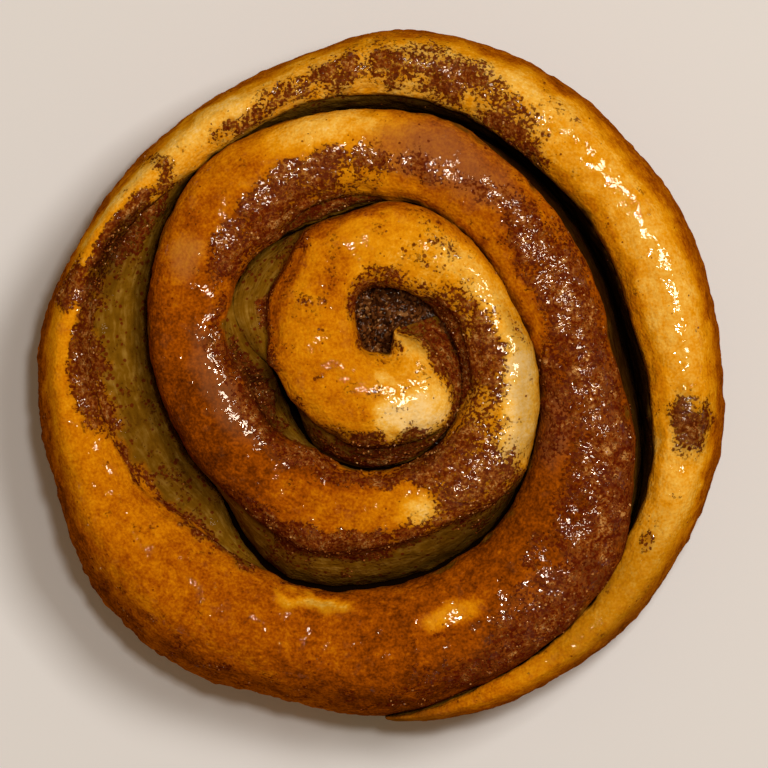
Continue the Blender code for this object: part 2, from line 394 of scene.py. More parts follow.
        outer_floor = between_keys(self.floor_height, turns)
        size["outer_floor"] = (1 - rim) * outer_floor + rim * self.rim_floor_height
        for side in ("inner", "outer"):
            room = np.maximum(crest - size[f"{side}_floor"] - self.wall_least, self.dome_flattest)
            size[f"{side}_dome"] = np.minimum(size[f"{side}_dome"], room)
            low = crest - size[f"{side}_dome"] - self.wall_least
            size[f"{side}_floor"] = np.minimum(size[f"{side}_floor"], low)
        nose = self.nose_pull * self.end_rounding(turns - self.start_turn, self.nose_turns)
        tail = self.tail_pull * self.end_rounding(self.end_turn - turns, self.tail_turns)
        middle = (size["inner_crack"] + size["outer_crack"]) / 2
        for part in ("foot", "crack", "shoulder"):
            inner, outer = size[f"inner_{part}"], size[f"outer_{part}"]
            size[f"inner_{part}"] = inner + nose * (middle - inner)
            size[f"outer_{part}"] = outer + (nose + tail) * (middle - outer)
        size["rim"] = rim
        return size

    @staticmethod
    def end_rounding(from_end: FloatArray, length: float) -> FloatArray:
        """0 along the strip, rising in a quarter circle to 1 over this length before its end."""
        x = 1 - np.clip(from_end / length, 0, 1)
        return 1 - np.sqrt(1 - x**2)

    def place(self, turns: FloatArray, radius: FloatArray, height: FloatArray) -> FloatArray:
        """Points in millimetres: the pole plus radius at minus the turn's angle, and the height.

        Args:
            turns: Turn of each point.
            radius: Distance of each point from the pole.
            height: Height of each point.

        Returns:
            Positions with x, y and z along the last axis.
        """
        angle = -2 * math.pi * turns
        x = self.pole[0] + radius * np.cos(angle)
        y = self.pole[1] + radius * np.sin(angle)
        return np.stack(np.broadcast_arrays(x, y, height), axis=-1)


@dataclass
class SurfaceGrid:
    """A strip of surface on a grid: stations along it, and points across it."""

    turns: FloatArray
    across: FloatArray
    points: FloatArray

    def spans(self) -> FloatArray:
        """Cross product of the grid's differences along it and across it, at each point."""
        return np.cross(np.gradient(self.points, axis=0), np.gradient(self.points, axis=1))

    def normals(self) -> FloatArray:
        """Unit normals: the spans over their lengths."""
        spans = self.spans()
        return spans / np.maximum(np.linalg.norm(spans, axis=-1, keepdims=True), TINY)

    def cell_areas(self) -> FloatArray:
        """Area of each point's share in square millimetres: the length of its span."""
        return np.linalg.norm(self.spans(), axis=-1)


def new_mesh_object(
    name: str, vertices: FloatArray, faces: Sequence[FloatArray], attributes: Fields
) -> bpy.types.Object:
    """Make a smooth-shaded mesh object from arrays, with its place in its mesh.

    Args:
        name: Name of the object and its mesh.
        vertices: Positions in millimetres, one row for a vertex.
        faces: Arrays of vertex numbers, each with one row for a face.
        attributes: Values by name, one for a vertex.

    Returns:
        The new object, linked to the scene.
    """
    mesh = bpy.data.meshes.new(name)
    sizes = np.concatenate([np.full(len(block), block.shape[1]) for block in faces])
    corners = np.concatenate([block.ravel() for block in faces])
    mesh.vertices.add(len(vertices))
    mesh.vertices.foreach_set("co", (vertices * MM).astype(np.float32).ravel())
    mesh.loops.add(len(corners))
    mesh.loops.foreach_set("vertex_index", corners.astype(np.int32))
    mesh.polygons.add(len(sizes))
    starts = np.concatenate([[0], np.cumsum(sizes)[:-1]])
    mesh.polygons.foreach_set("loop_start", starts.astype(np.int32))
    mesh.update(calc_edges=True)
    mesh.validate()
    mesh.shade_smooth()
    for label, values in attributes.items():
        layer = mesh.attributes.new(label, "FLOAT", "POINT")
        layer.data.foreach_set("value", values.astype(np.float32).ravel())
    obj = bpy.data.objects.new(name, mesh)
    bpy.context.scene.collection.objects.link(obj)
    return obj


def tube_faces(stations: int, around: int) -> FloatArray:
    """Quads that join the rings of a tube, each ring closed on itself.

    Args:
        stations: How many rings there are.
        around: How many points each ring has.

    Returns:
        One row of four vertex numbers for each quad.
    """
    k, j = np.meshgrid(np.arange(stations - 1), np.arange(around), indexing="ij")
    here, there, after = k * around, (k + 1) * around, (j + 1) % around
    return np.stack([here + j, here + after, there + after, there + j], -1).reshape(-1, 4)


@dataclass
class BakeMap:
    """Where the roll is browned, spiced and glazed: patches over base values, in (turn, across).

    Each patch is a row of turn, across, half_turns, half_across and amount. The names that end in
    _across, and steep, give where a fade starts and ends, in steps across and in the normal's z.
    """

    winding: Winding
    bake_by_turn: Keys = (
        (-0.05, 0.30), (0.1, 0.36), (0.3, 0.50), (0.5, 0.54), (0.62, 0.52), (0.75, 0.44),
        (0.95, 0.35), (1.08, 0.34), (1.2, 0.55), (1.3, 0.66), (1.42, 0.85), (1.52, 0.79),
        (1.62, 0.64), (1.72, 0.48), (1.8, 0.66), (1.95, 0.70), (2.1, 0.80), (2.25, 0.77),
        (2.4, 0.60), (2.5, 0.46), (2.65, 0.32), (2.8, 0.30), (2.9, 0.34), (3.0, 0.36), (3.06, 0.26),
        (3.12, 0.46), (3.2, 0.62), (3.25, 0.74),
    )
    # The lightening rows at 0.17, 0.9, 2.205 and 2.975 turns are pale dough and a painted highlight
    # where the glaze glints
    bake: Patches = patches(
        (0.17, 0.5, 0.07, 0.5, -0.9), (0.19, -0.4, 0.05, 0.25, -0.55), (0.0, -0.2, 0.06, 0.8, -0.2),
        (0.6, 0.95, 0.16, 0.3, 0.45), (0.66, -0.2, 0.05, 0.6, 0.25), (0.8, 0.95, 0.12, 0.25, 0.35),
        (0.9, 0.35, 0.07, 0.5, -0.35), (1.05, 0.5, 0.08, 0.5, -0.75),
        (1.205, 0.35, 0.02, 0.5, -0.6), (1.33, -0.6, 0.12, 0.3, 0.35),
        (1.57, 0.3, 0.02, 0.4, -0.25), (1.72, 0.65, 0.05, 0.4, -0.5),
        (1.9, -0.75, 0.15, 0.2, -0.15), (2.12, 0.7, 0.16, 0.4, 0.28),
        (2.205, -0.26, 0.02, 0.2, -0.42), (2.285, -0.78, 0.022, 0.14, -0.65),
        (2.35, 0.95, 0.2, 0.25, 0.36), (2.645, 0.35, 0.03, 0.8, -0.45),
        (2.58, 0.5, 0.03, 0.4, -0.45), (2.82, 0.3, 0.05, 0.5, -0.3), (2.975, -0.1, 0.05, 0.5, -0.3),
        (2.97, 0.95, 0.12, 0.25, 0.3), (2.96, -0.85, 0.12, 0.2, 0.25),
        (3.14, -0.3, 0.05, 0.8, -0.2),
    )
    # The narrow row at 2.4 turns and -1.0 across is spice and a painted shade line along the fold
    # at the top of the wall
    spice: Patches = patches(
        (0.04, 1.1, 0.11, 0.5, 0.9), (0.05, 1.6, 0.14, 0.6, 1.0), (1.04, -1.6, 0.14, 0.6, 1.0),
        (0.45, -1.7, 0.55, 0.4, 1.0), (0.0, -0.9, 0.06, 0.5, 0.3), (0.23, 1.0, 0.1, 0.25, 0.7),
        (0.24, 1.5, 0.12, 0.4, 0.8), (0.43, 0.95, 0.12, 0.2, 0.35), (0.63, 0.3, 0.12, 0.8, 0.09),
        (0.5, -1.05, 0.3, 0.14, 0.62), (0.45, 0.2, 0.45, 1.0, 0.08), (0.57, 1.05, 0.12, 0.15, 0.5),
        (0.75, -0.9, 0.15, 0.35, 0.62), (0.9, 0.2, 0.12, 1.0, 0.16), (0.97, -0.9, 0.08, 0.9, 0.8),
        (1.05, -0.45, 0.08, 0.6, 0.7), (1.15, 0.2, 0.05, 1.3, 0.9), (1.27, 0.9, 0.1, 0.35, 0.9),
        (1.3, -0.75, 0.12, 0.3, 0.75), (1.45, -0.75, 0.12, 0.25, 0.7),
        (1.62, -0.45, 0.06, 0.45, 0.85), (1.66, -0.85, 0.09, 0.35, 0.72),
        (1.7, -0.2, 0.07, 0.4, 0.9), (1.8, -0.1, 0.05, 0.4, 0.5), (1.93, 0.2, 0.09, 0.75, 0.8),
        (2.04, 0.2, 0.07, 0.9, 0.76), (2.13, 0.6, 0.1, 0.4, 0.6), (2.13, 0.1, 0.06, 0.55, 0.42),
        (2.05, -0.7, 0.05, 0.3, 0.6), (2.2, 0.8, 0.25, 0.25, 0.28), (2.48, -0.6, 0.03, 0.5, 0.8),
        (2.53, 0.0, 0.014, 0.9, 0.95), (2.57, -0.6, 0.04, 0.5, 0.95),
        (2.505, -0.8, 0.03, 0.35, 0.85), (2.57, -1.1, 0.04, 0.45, 0.6),
        (1.18, -0.75, 0.05, 0.45, 0.9), (2.4, -1.0, 0.12, 0.09, 0.85), (1.44, -1.2, 0.07, 0.3, 0.8),
        (1.68, -1.4, 0.1, 0.4, 0.8), (2.61, 0.2, 0.008, 0.6, 0.6), (2.67, -0.6, 0.03, 0.4, 0.6),
        (2.71, -0.3, 0.05, 0.8, 0.54), (2.77, 0.05, 0.045, 0.75, 0.58),
        (2.81, -0.4, 0.05, 0.75, 0.56), (2.85, -0.8, 0.03, 0.3, 0.7), (3.04, 0.0, 0.018, 0.7, 0.9),
        (3.1, -0.4, 0.008, 0.3, 0.6),
    )
    # Dried syrup: its tint on the crust carries a painted sheen, and it smooths the film's bumps
    # over the spice
    syrup: Patches = patches(
        (1.45, -0.35, 0.06, 0.4, 0.8), (1.815, 0.25, 0.065, 0.65, 1.0),
        (1.57, 0.3, 0.018, 0.35, 0.8), (2.07, -0.7, 0.03, 0.3, 0.7), (2.1, 0.6, 0.1, 0.4, 0.35),
    )
    gloss: Patches = patches(
        (0.17, 0.2, 0.1, 0.9, 0.7), (0.22, -0.3, 0.06, 0.5, 0.8), (0.5, -0.75, 0.16, 0.15, 0.6),
        (0.72, 0.1, 0.02, 0.2, 0.9), (0.9, 0.5, 0.1, 0.4, 0.5), (1.05, 0.4, 0.12, 0.7, 0.6),
        (1.45, -0.5, 0.12, 0.2, 1.0), (1.7, -0.1, 0.09, 0.4, 0.75), (1.84, -0.3, 0.05, 0.3, 0.5),
        (2.0, 0.2, 0.16, 0.6, 0.3), (2.16, 0.1, 0.03, 0.2, 0.7), (2.205, -0.26, 0.02, 0.2, 0.6),
        (2.382, -0.29, 0.03, 0.35, -1.0), (0.392, -0.29, 0.06, 0.3, -1.0),
        (2.91, -0.1, 0.05, 0.5, 0.65), (2.975, -0.05, 0.06, 0.6, 1.0),
    )
    # Soaked filling on the walls of the cracks, drawn near-black so that it also paints their shade
    soak_and_shade: Patches = patches(
        (1.92, 1.6, 0.2, 0.9, 0.9), (2.92, -1.6, 0.2, 0.9, 0.9), (1.15, 1.6, 0.1, 0.5, 0.5),
        (0.46, 1.8, 0.06, 0.5, 0.6), (2.41, -1.35, 0.06, 0.3, 0.25), (1.45, -1.75, 0.06, 0.45, 0.6),
    )
    bare: Patches = patches(
        (3.25, 0.3, 0.035, 2.0, 0.45), (3.13, -0.2, 0.05, 1.2, 0.4),
        (2.285, -0.72, 0.02, 0.12, 0.35), (2.35, -1.05, 0.04, 0.16, 0.7),
        (-0.02, 0.2, 0.05, 0.7, 0.4), (1.04, 0.7, 0.1, 0.4, 0.4),
    )
    heavy: Patches = patches(
        (2.555, -0.9, 0.03, 0.4, 0.75), (1.43, -1.2, 0.08, 0.35, 0.6),
        (1.18, -0.85, 0.05, 0.3, 0.4), (1.36, 1.0, 0.1, 0.22, 0.4), (2.515, -0.8, 0.05, 0.35, 0.3),
        (3.04, 0.0, 0.018, 0.6, 0.35), (0.24, 1.1, 0.1, 0.3, 0.5), (1.2, 1.1, 0.1, 0.2, 0.4),
    )
    side_by_turn: Keys = (
        (2.2, 0.68), (2.35, 0.79), (2.5, 0.82), (2.64, 0.71), (3.08, 0.76), (3.2, 0.8),
    )
    plain_gloss: float = 0.13
    wall_spice: float = 0.1
    floor_spice: float = 0.1
    spice_contrast: float = 1.25
    clump_share: float = 0.5
    clump_length: float = 2.4
    drift_length: float = 3.2
    drift_mm: float = 2.2
    drift_across: float = 0.22
    drift_least_radius: float = 3.0
    wall_across: Range = (1.0, 1.14)
    floor_across: Range = (1.6, 1.95)
    side_across: Range = (0.42, 1.0)
    steep: Range = (0.6, 0.88)
    wall_dryness: float = 0.9
    open_gape: Range = (0.5, 3.0)

    def fields(self, grid: SurfaceGrid, rim: FloatArray, noise: SolidNoise) -> Fields:
        """Values at each point of the strip.

        Browning is the curve by turn with the patches over it, and the curve of the side down the
        rim's side. A wall inside a crack is sheltered from the oven's heat as far as it lies past
        its shoulder, and syrup runs off what is steep. The walls of the cracks are darkened where
        filling soaked in, and this also paints their shade; heavy spice takes the same dark tone.
        The patches' edges drift by noise, and noise breaks the spice into clumps.

        Args:
            grid: The strip's surface.
            rim: 1 where the outer side of the strip is the outside of the roll.
            noise: What makes the drift and the clumps.

        Returns:
            Values from 0 to 1 by name, and lengths in metres along and over the strip.
        """
        points = grid.points
        step = np.linalg.norm(np.diff(points, axis=0, prepend=points[:1]), axis=-1).mean(1)
        along = np.broadcast_to(np.cumsum(step)[:, None] * MM, grid.turns.shape)
        step = np.linalg.norm(np.diff(points, axis=1, prepend=points[:, :1]), axis=-1).mean(0)
        over = np.broadcast_to(np.cumsum(step) * MM, grid.turns.shape)
        radius = np.hypot(points[..., 0], points[..., 1])
        circle = 2 * math.pi * (radius + self.drift_least_radius)
        drift = noise.layered(points + DRIFT_ALONG, self.drift_length, 3)
        turns = grid.turns + self.drift_mm * drift / circle
        drift = noise.layered(points + DRIFT_ACROSS, self.drift_length, 3)
        across = grid.across + self.drift_across * drift
        walls = [smooth_step(*self.wall_across, side) for side in (-across, across * (1 - rim))]
        shelter = np.clip(sum(walls), 0, 1)
        bake = overlaid(self.bake, turns, across, between_keys(self.bake_by_turn, turns))
        side = smooth_step(*self.side_across, across) * rim
        deep = self.floor_spice * smooth_step(*self.floor_across, np.abs(across)) * shelter
        spice = np.maximum(overlaid(self.spice, turns, across), self.wall_spice * shelter + deep)
        clumps = noise.layered(points + CLUMPS, self.clump_length, 3)
        contrast = self.spice_contrast * (spice - 0.5 + self.clump_share * clumps)
        level = smooth_step(*self.steep, grid.normals()[..., 2])
        # The walls of the cracks darken with soaked filling and with painted shade
        soaked_and_shaded = overlaid(self.soak_and_shade, turns, across) * shelter
        return {
            "bake": bake * (1 - side) + between_keys(self.side_by_turn, turns) * side,
            "spice": np.clip(0.5 + contrast, 0, 1),
            "syrup": overlaid(self.syrup, turns, across),
            "shelter": shelter,
            "crumb": overlaid(self.bare, turns, across, shelter),
            "dry": np.clip(self.wall_dryness * shelter + 1 - level, 0, 1),
            "open": self.open_share(grid.turns, grid.across) * (1 - rim * (across > 0)),
            "gloss": overlaid(self.gloss, turns, across, self.plain_gloss),
            "flank": side,
            "soak_and_shade": np.maximum(soaked_and_shaded, overlaid(self.heavy, turns, across)),
            "along": along,
            "over": over,
        }

    def open_share(self, turns: FloatArray, across: FloatArray) -> FloatArray:
        """1 at a shoulder that stands well back from its crack, and 0 at one that touches.

        Args:
            turns: Turn of each point.
            across: Step across the strip of each point.

        Returns:
            Values from 0 to 1.
        """
        inner = swell(self.winding.outer_gapes, turns - 1)
        outer = swell(self.winding.inner_gapes, turns)
        return smooth_step(*self.open_gape, np.where(across < 0, inner, outer))


@dataclass
class DoughStrip:
    """The baked strip: its cross-section carried along the winding, with the relief of real crust.

    Heights, lengths and widths are in millimetres. A gain is how much higher the wrinkles are.
    """

    winding: Winding
    bake_map: BakeMap
    noise: SolidNoise
    stations: int = 1180
    wall_points: int = 14
    dome_points: int = 46
    foot_points: int = 3
    base_points: int = 4
    shoulder_rounds: int = 4
    lump_height: float = 0.5
    lump_length: float = 10.0
    wrinkle_height: float = 0.17
    wrinkle_length: float = 2.4
    shoulder_across: float = 0.9
    shoulder_reach: float = 0.5
    shoulder_gain: float = 0.8
    spice_gain: float = 0.7
    wall_gain: float = 0.8
    wall_calm: float = 0.75
    spice_height: float = 0.2
    lip_height: float = 0.4
    lip_across: Range = (0.97, 1.12)
    lip_width: float = 0.07
    lip_wander: float = 0.06
    flank_height: float = 0.2
    flank_length: float = 1.8
    ragged_places: Triples = ((2.42, 0.22, 0.5),)
    base_fade: Range = (0.5, 4.0)
    middle_line_points: int = 6000
    end_length: float = 0.6
    end_angle: float = 0.47 * math.pi
    end_rings: int = 4

    def section(self, turns: FloatArray) -> tuple[FloatArray, FloatArray, FloatArray]:
        """Radius, height and step across of every point of the cross-section at each turn.

        Up the inner wall, over the crest on a squared ellipse, down the outer wall and its foot,
        and back along the base.

        Args:
            turns: Turn of each station.

        Returns:
            Three arrays with a row for a station and a column for a point.
        """
        shape = self.winding
        size = shape.sizes(turns)
        columns: list[tuple[FloatArray, FloatArray, FloatArray]] = []
        for side, sign in (("inner", -1), ("outer", 1)):
            shoulder, crack = size[f"{side}_shoulder"], size[f"{side}_crack"]
            foot = size[f"{side}_foot"]
            floor, top = size[f"{side}_floor"], size["crest"] - size[f"{side}_dome"]
            share = np.linspace(0, 1, self.wall_points, endpoint=False)[:, None]
            lean = share + size[f"{side}_bow"] * np.sin(math.pi * share)
            height = floor + (top - floor) * share
            wall = (crack + (shoulder - crack) * lean, height, sign * (2 - share))
            drop = np.linspace(1, 0, self.foot_points, endpoint=False)[:, None]
            height = floor + (shape.base_edge - floor) * drop
            below = (crack + (foot - crack) * drop**2, height, sign * 2.0)
            columns.append(self.stack(below, wall, size["crest"]))
        centre = (size["inner_shoulder"] + size["outer_shoulder"]) / 2
        half_width = (size["outer_shoulder"] - size["inner_shoulder"]) / 2
        angle = np.linspace(0, math.pi, self.dome_points)[:, None]
        cosine = np.cos(angle)
        over = -np.sign(cosine) * np.abs(cosine) ** (2 / shape.dome_power)
        rise = np.clip(np.sin(angle), 0, 1) ** (2 / shape.dome_power)
        drop = np.where(over < 0, size["inner_dome"], size["outer_dome"])
        dome = (centre + half_width * over, size["crest"] - drop * (1 - rise), over)
        most = shape.base_share_most * (size["outer_foot"] - size["inner_foot"])
        start = size["outer_foot"] - np.minimum(size["base_edge"], most)
        end = size["inner_foot"] + np.minimum(shape.base_edge, most)
        share = np.linspace(0, 1, self.base_points)[:, None]
        base = (start + (end - start) * share, 0.0 * share, 3.0)
        inner, outer = columns
        flat = np.zeros_like(size["crest"])
        outer = tuple(column[::-1] for column in outer)
        parts = [inner, self.stack(dome, None, flat), outer, self.stack(base, None, flat)]
        return tuple(np.concatenate([part[k] for part in parts]).T for k in range(3))

    @staticmethod
    def stack(
        first: tuple[FloatArray, ...], second: tuple[FloatArray, ...] | None, like: FloatArray
    ) -> tuple[FloatArray, ...]:
        """Join runs of (radius, height, across) rows, each spread to a column for every station.

        Args:
            first: The first run.
            second: The run that follows it, if any.
            like: An array with one value for a station.

        Returns:
            Arrays of radius, height and step across.
        """
        runs = [run for run in (first, second) if run is not None]
        rows = [max(np.atleast_2d(value).shape[0] for value in run) for run in runs]
        return tuple(
            np.concatenate([np.broadcast_to(run[k], (n, len(like))) for run, n in zip(runs, rows)])
            for k in range(3)
        )

    def even_turns(self) -> FloatArray:
        """Turns of the stations, spaced evenly by the length of the strip's middle line.

        Returns:
            One turn for each station.
        """
        shape = self.winding
        fine = np.linspace(shape.start_turn, shape.end_turn, self.middle_line_points)
        size = shape.sizes(fine)
        middle = (size["inner_crack"] + size["outer_crack"]) / 2
        around = 2 * math.pi * middle * np.gradient(fine)
        length = np.cumsum(np.hypot(np.gradient(middle), around))
        return np.interp(np.linspace(length[0], length[-1], self.stations), length, fine)

    def plain_grid(self) -> tuple[SurfaceGrid, FloatArray]:
        """The strip without its relief, with rounded shoulders.

        Returns:
            The grid, and the rim share at each station.
        """
        turns = self.even_turns()
        radius, height, across = self.section(turns)
        last = self.foot_points + 2 * self.wall_points + self.dome_points - 1
        seen = slice(self.foot_points + 1, last)
        for _ in range(self.shoulder_rounds):
            for values in (radius, height):
                around = (np.roll(values, 1, 1) + np.roll(values, -1, 1)) / 2
                values[:, seen] = ((values + around) / 2)[:, seen]
        points = self.winding.place(turns[:, None], radius, height)
        rim = self.winding.sizes(turns)["rim"]
        return SurfaceGrid(np.broadcast_to(turns[:, None], radius.shape), across, points), rim

    def relief(self, grid: SurfaceGrid, fields: Fields) -> FloatArray:
        """Height of the crust's relief: lumps, wrinkles, the layer of spice and a lip.

        Lumps are calmer on the walls. Wrinkles are higher on shoulders, walls and spice, with a
        finer grain of their own on the rim's side. The lip is a ridge with a groove outside it,
        each exp(-x^2), along the shoulders that stand back from their crack.

        Args:
            grid: The strip without its relief.
            fields: The bake map's values on the grid.

        Returns:
            Millimetres along the normal at each grid point, and nothing on the base.
        """
        above = smooth_step(*self.base_fade, grid.points[..., 2])
        lumps = self.noise.layered(grid.points, self.lump_length, 3)
        wrinkles = self.noise.layered(grid.points + WRINKLES, self.wrinkle_length, 3)
        off = np.abs(np.abs(grid.across) - self.shoulder_across)
        shoulder = 1 - smooth_step(0.0, self.shoulder_reach, off)
        roughness = (
            1 + self.shoulder_gain * shoulder + self.spice_gain * fields["spice"]
            + self.wall_gain * fields["shelter"]
        )
        inside = 1 - self.wall_calm * fields["shelter"]
        layer = self.spice_height * fields["spice"]
        edge = np.abs(grid.across) + self.lip_wander * wrinkles
        ridge, groove = (np.exp(-((edge - x) / self.lip_width) ** 2) for x in self.lip_across)
        lip = self.lip_height * (ridge - groove)
        fine = self.wrinkle_height * wrinkles * roughness
        rag = swell(self.ragged_places, grid.turns) + self.flank_height
        grain = self.noise.layered(grid.points + FLANK, self.flank_length, 3)
        fine = fine + rag * fields["flank"] * grain
        return above * (self.lump_height * lumps * inside + fine + layer + lip * fields["open"])

    def build(self, shift: FloatArray) -> tuple[bpy.types.Object, SurfaceGrid, Fields]:
        """Make the strip's mesh, with its two ends rounded off and closed.

        Args:
            shift: What moves the strip to its place, in millimetres.

        Returns:
            The object, the finished grid and the bake map's values on it.
        """
        grid, rim = self.plain_grid()
        fields = self.bake_map.fields(grid, rim[:, None], self.noise)
        relief = self.relief(grid, fields)
        points = grid.points + grid.normals() * relief[..., None] + shift
        points[..., 2] = np.maximum(points[..., 2], 0.0)
        grid = SurfaceGrid(grid.turns, grid.across, points)
        head, tail = self.end_cap(points[0], points[1]), self.end_cap(points[-1], points[-2])
        rings = np.concatenate([head[::-1], points, tail])
        around = rings.shape[1]
        first, last = np.arange(around), np.arange(around) + (len(rings) - 1) * around
        edges = ((self.end_rings, self.end_rings), (0, 0))
        widened = {name: np.pad(values, edges, "edge") for name, values in fields.items()}
        faces = [tube_faces(len(rings), around)[:, ::-1], first[None, :], last[None, ::-1]]
        obj = new_mesh_object("baked_dough", rings.reshape(-1, 3), faces, widened)
        return obj, grid, fields

    def end_cap(self, ring: FloatArray, before: FloatArray) -> FloatArray:
        """Rings that carry an end on in a quarter circle, drawn in towards the ring's middle plane.

        Args:
            ring: The last ring of the strip.
            before: The ring before it, which gives the direction.

        Returns:
            The added rings, the furthest last.
        """
        forward = (ring - before).mean(0) * [1, 1, 0]
        forward /= np.linalg.norm(forward)
        side = np.array([-forward[1], forward[0], 0.0])
        middle = ring.mean(0)
        out = ((ring - middle) @ side)[:, None] * side
        angle = np.linspace(0, self.end_angle, self.end_rings + 1)[1:, None, None]
        return ring + forward * self.end_length * np.sin(angle) - out * (1 - np.cos(angle))


class NodeTree:
    """A material's node tree, with one way to add a node."""

    def __init__(self, name: str) -> None:
        """Start a material whose shader is a Principled BSDF.

        Args:
            name: The real material's name.
        """
        self.material = bpy.data.materials.new(name)
        self.material.use_nodes = True
        self.tree = self.material.node_tree
        self.shader = self.tree.nodes["Principled BSDF"]
        self.place = self.add("TexCoord", output="Object")

    def add(
        self, kind: str, inputs: Inputs = (), output: int | str = 0, stops: Stops = (),
        **settings: object,
    ) -> Socket:
        """Add a node with its settings and links.

        Args:
            kind: The node's type without "ShaderNode".
            inputs: Values, hex colours or sockets for its inputs, in order or by name or number.
            output: Name or number of the output that is returned.
            stops: Position and hex colour of each stop, for a colour ramp.
            **settings: Properties of the node.

        Returns:
            The chosen output socket.
        """
        node = self.tree.nodes.new("ShaderNode" + kind)
        for label, value in settings.items():
            setattr(node, label, value)
        for position, colour in stops[2:]:
            node.color_ramp.elements.new(position)
        for element, (position, colour) in zip(node.color_ramp.elements if stops else (), stops):
            element.position = position
            element.color = linear(colour)
        self.fill(node, inputs)
        return node.outputs[output]

    def fill(self, node: bpy.types.Node, inputs: Inputs) -> None:
        """Set or link a node's inputs.

        Args:
            node: The node.
            inputs: Values, hex colours or sockets, in order or by name or number.
        """
        pairs = inputs.items() if isinstance(inputs, dict) else enumerate(inputs)
        for label, value in pairs:
            if isinstance(value, Socket):
                self.tree.links.new(value, node.inputs[label])
            else:
                value = linear(value) if isinstance(value, str) else value
                node.inputs[label].default_value = value

    def pattern(self, size_mm: float, **more: object) -> dict[str | int, object]:
        """Inputs of a pattern with features this size, on Object coordinates."""
        return {"Vector": self.place, "Scale": per_mm(size_mm), **more}

    def surface(self, **inputs: object) -> bpy.types.Material:
        """Set or link the shader's inputs, named with underscores for spaces, and finish."""
        self.fill(self.shader, {label.replace("_", " "): value for label, value in inputs.items()})
        return self.material


def per_mm(size_mm: float) -> float:
    """The texture scale, on Object coordinates in metres, that makes features this size."""
    return 1 / (size_mm * MM)


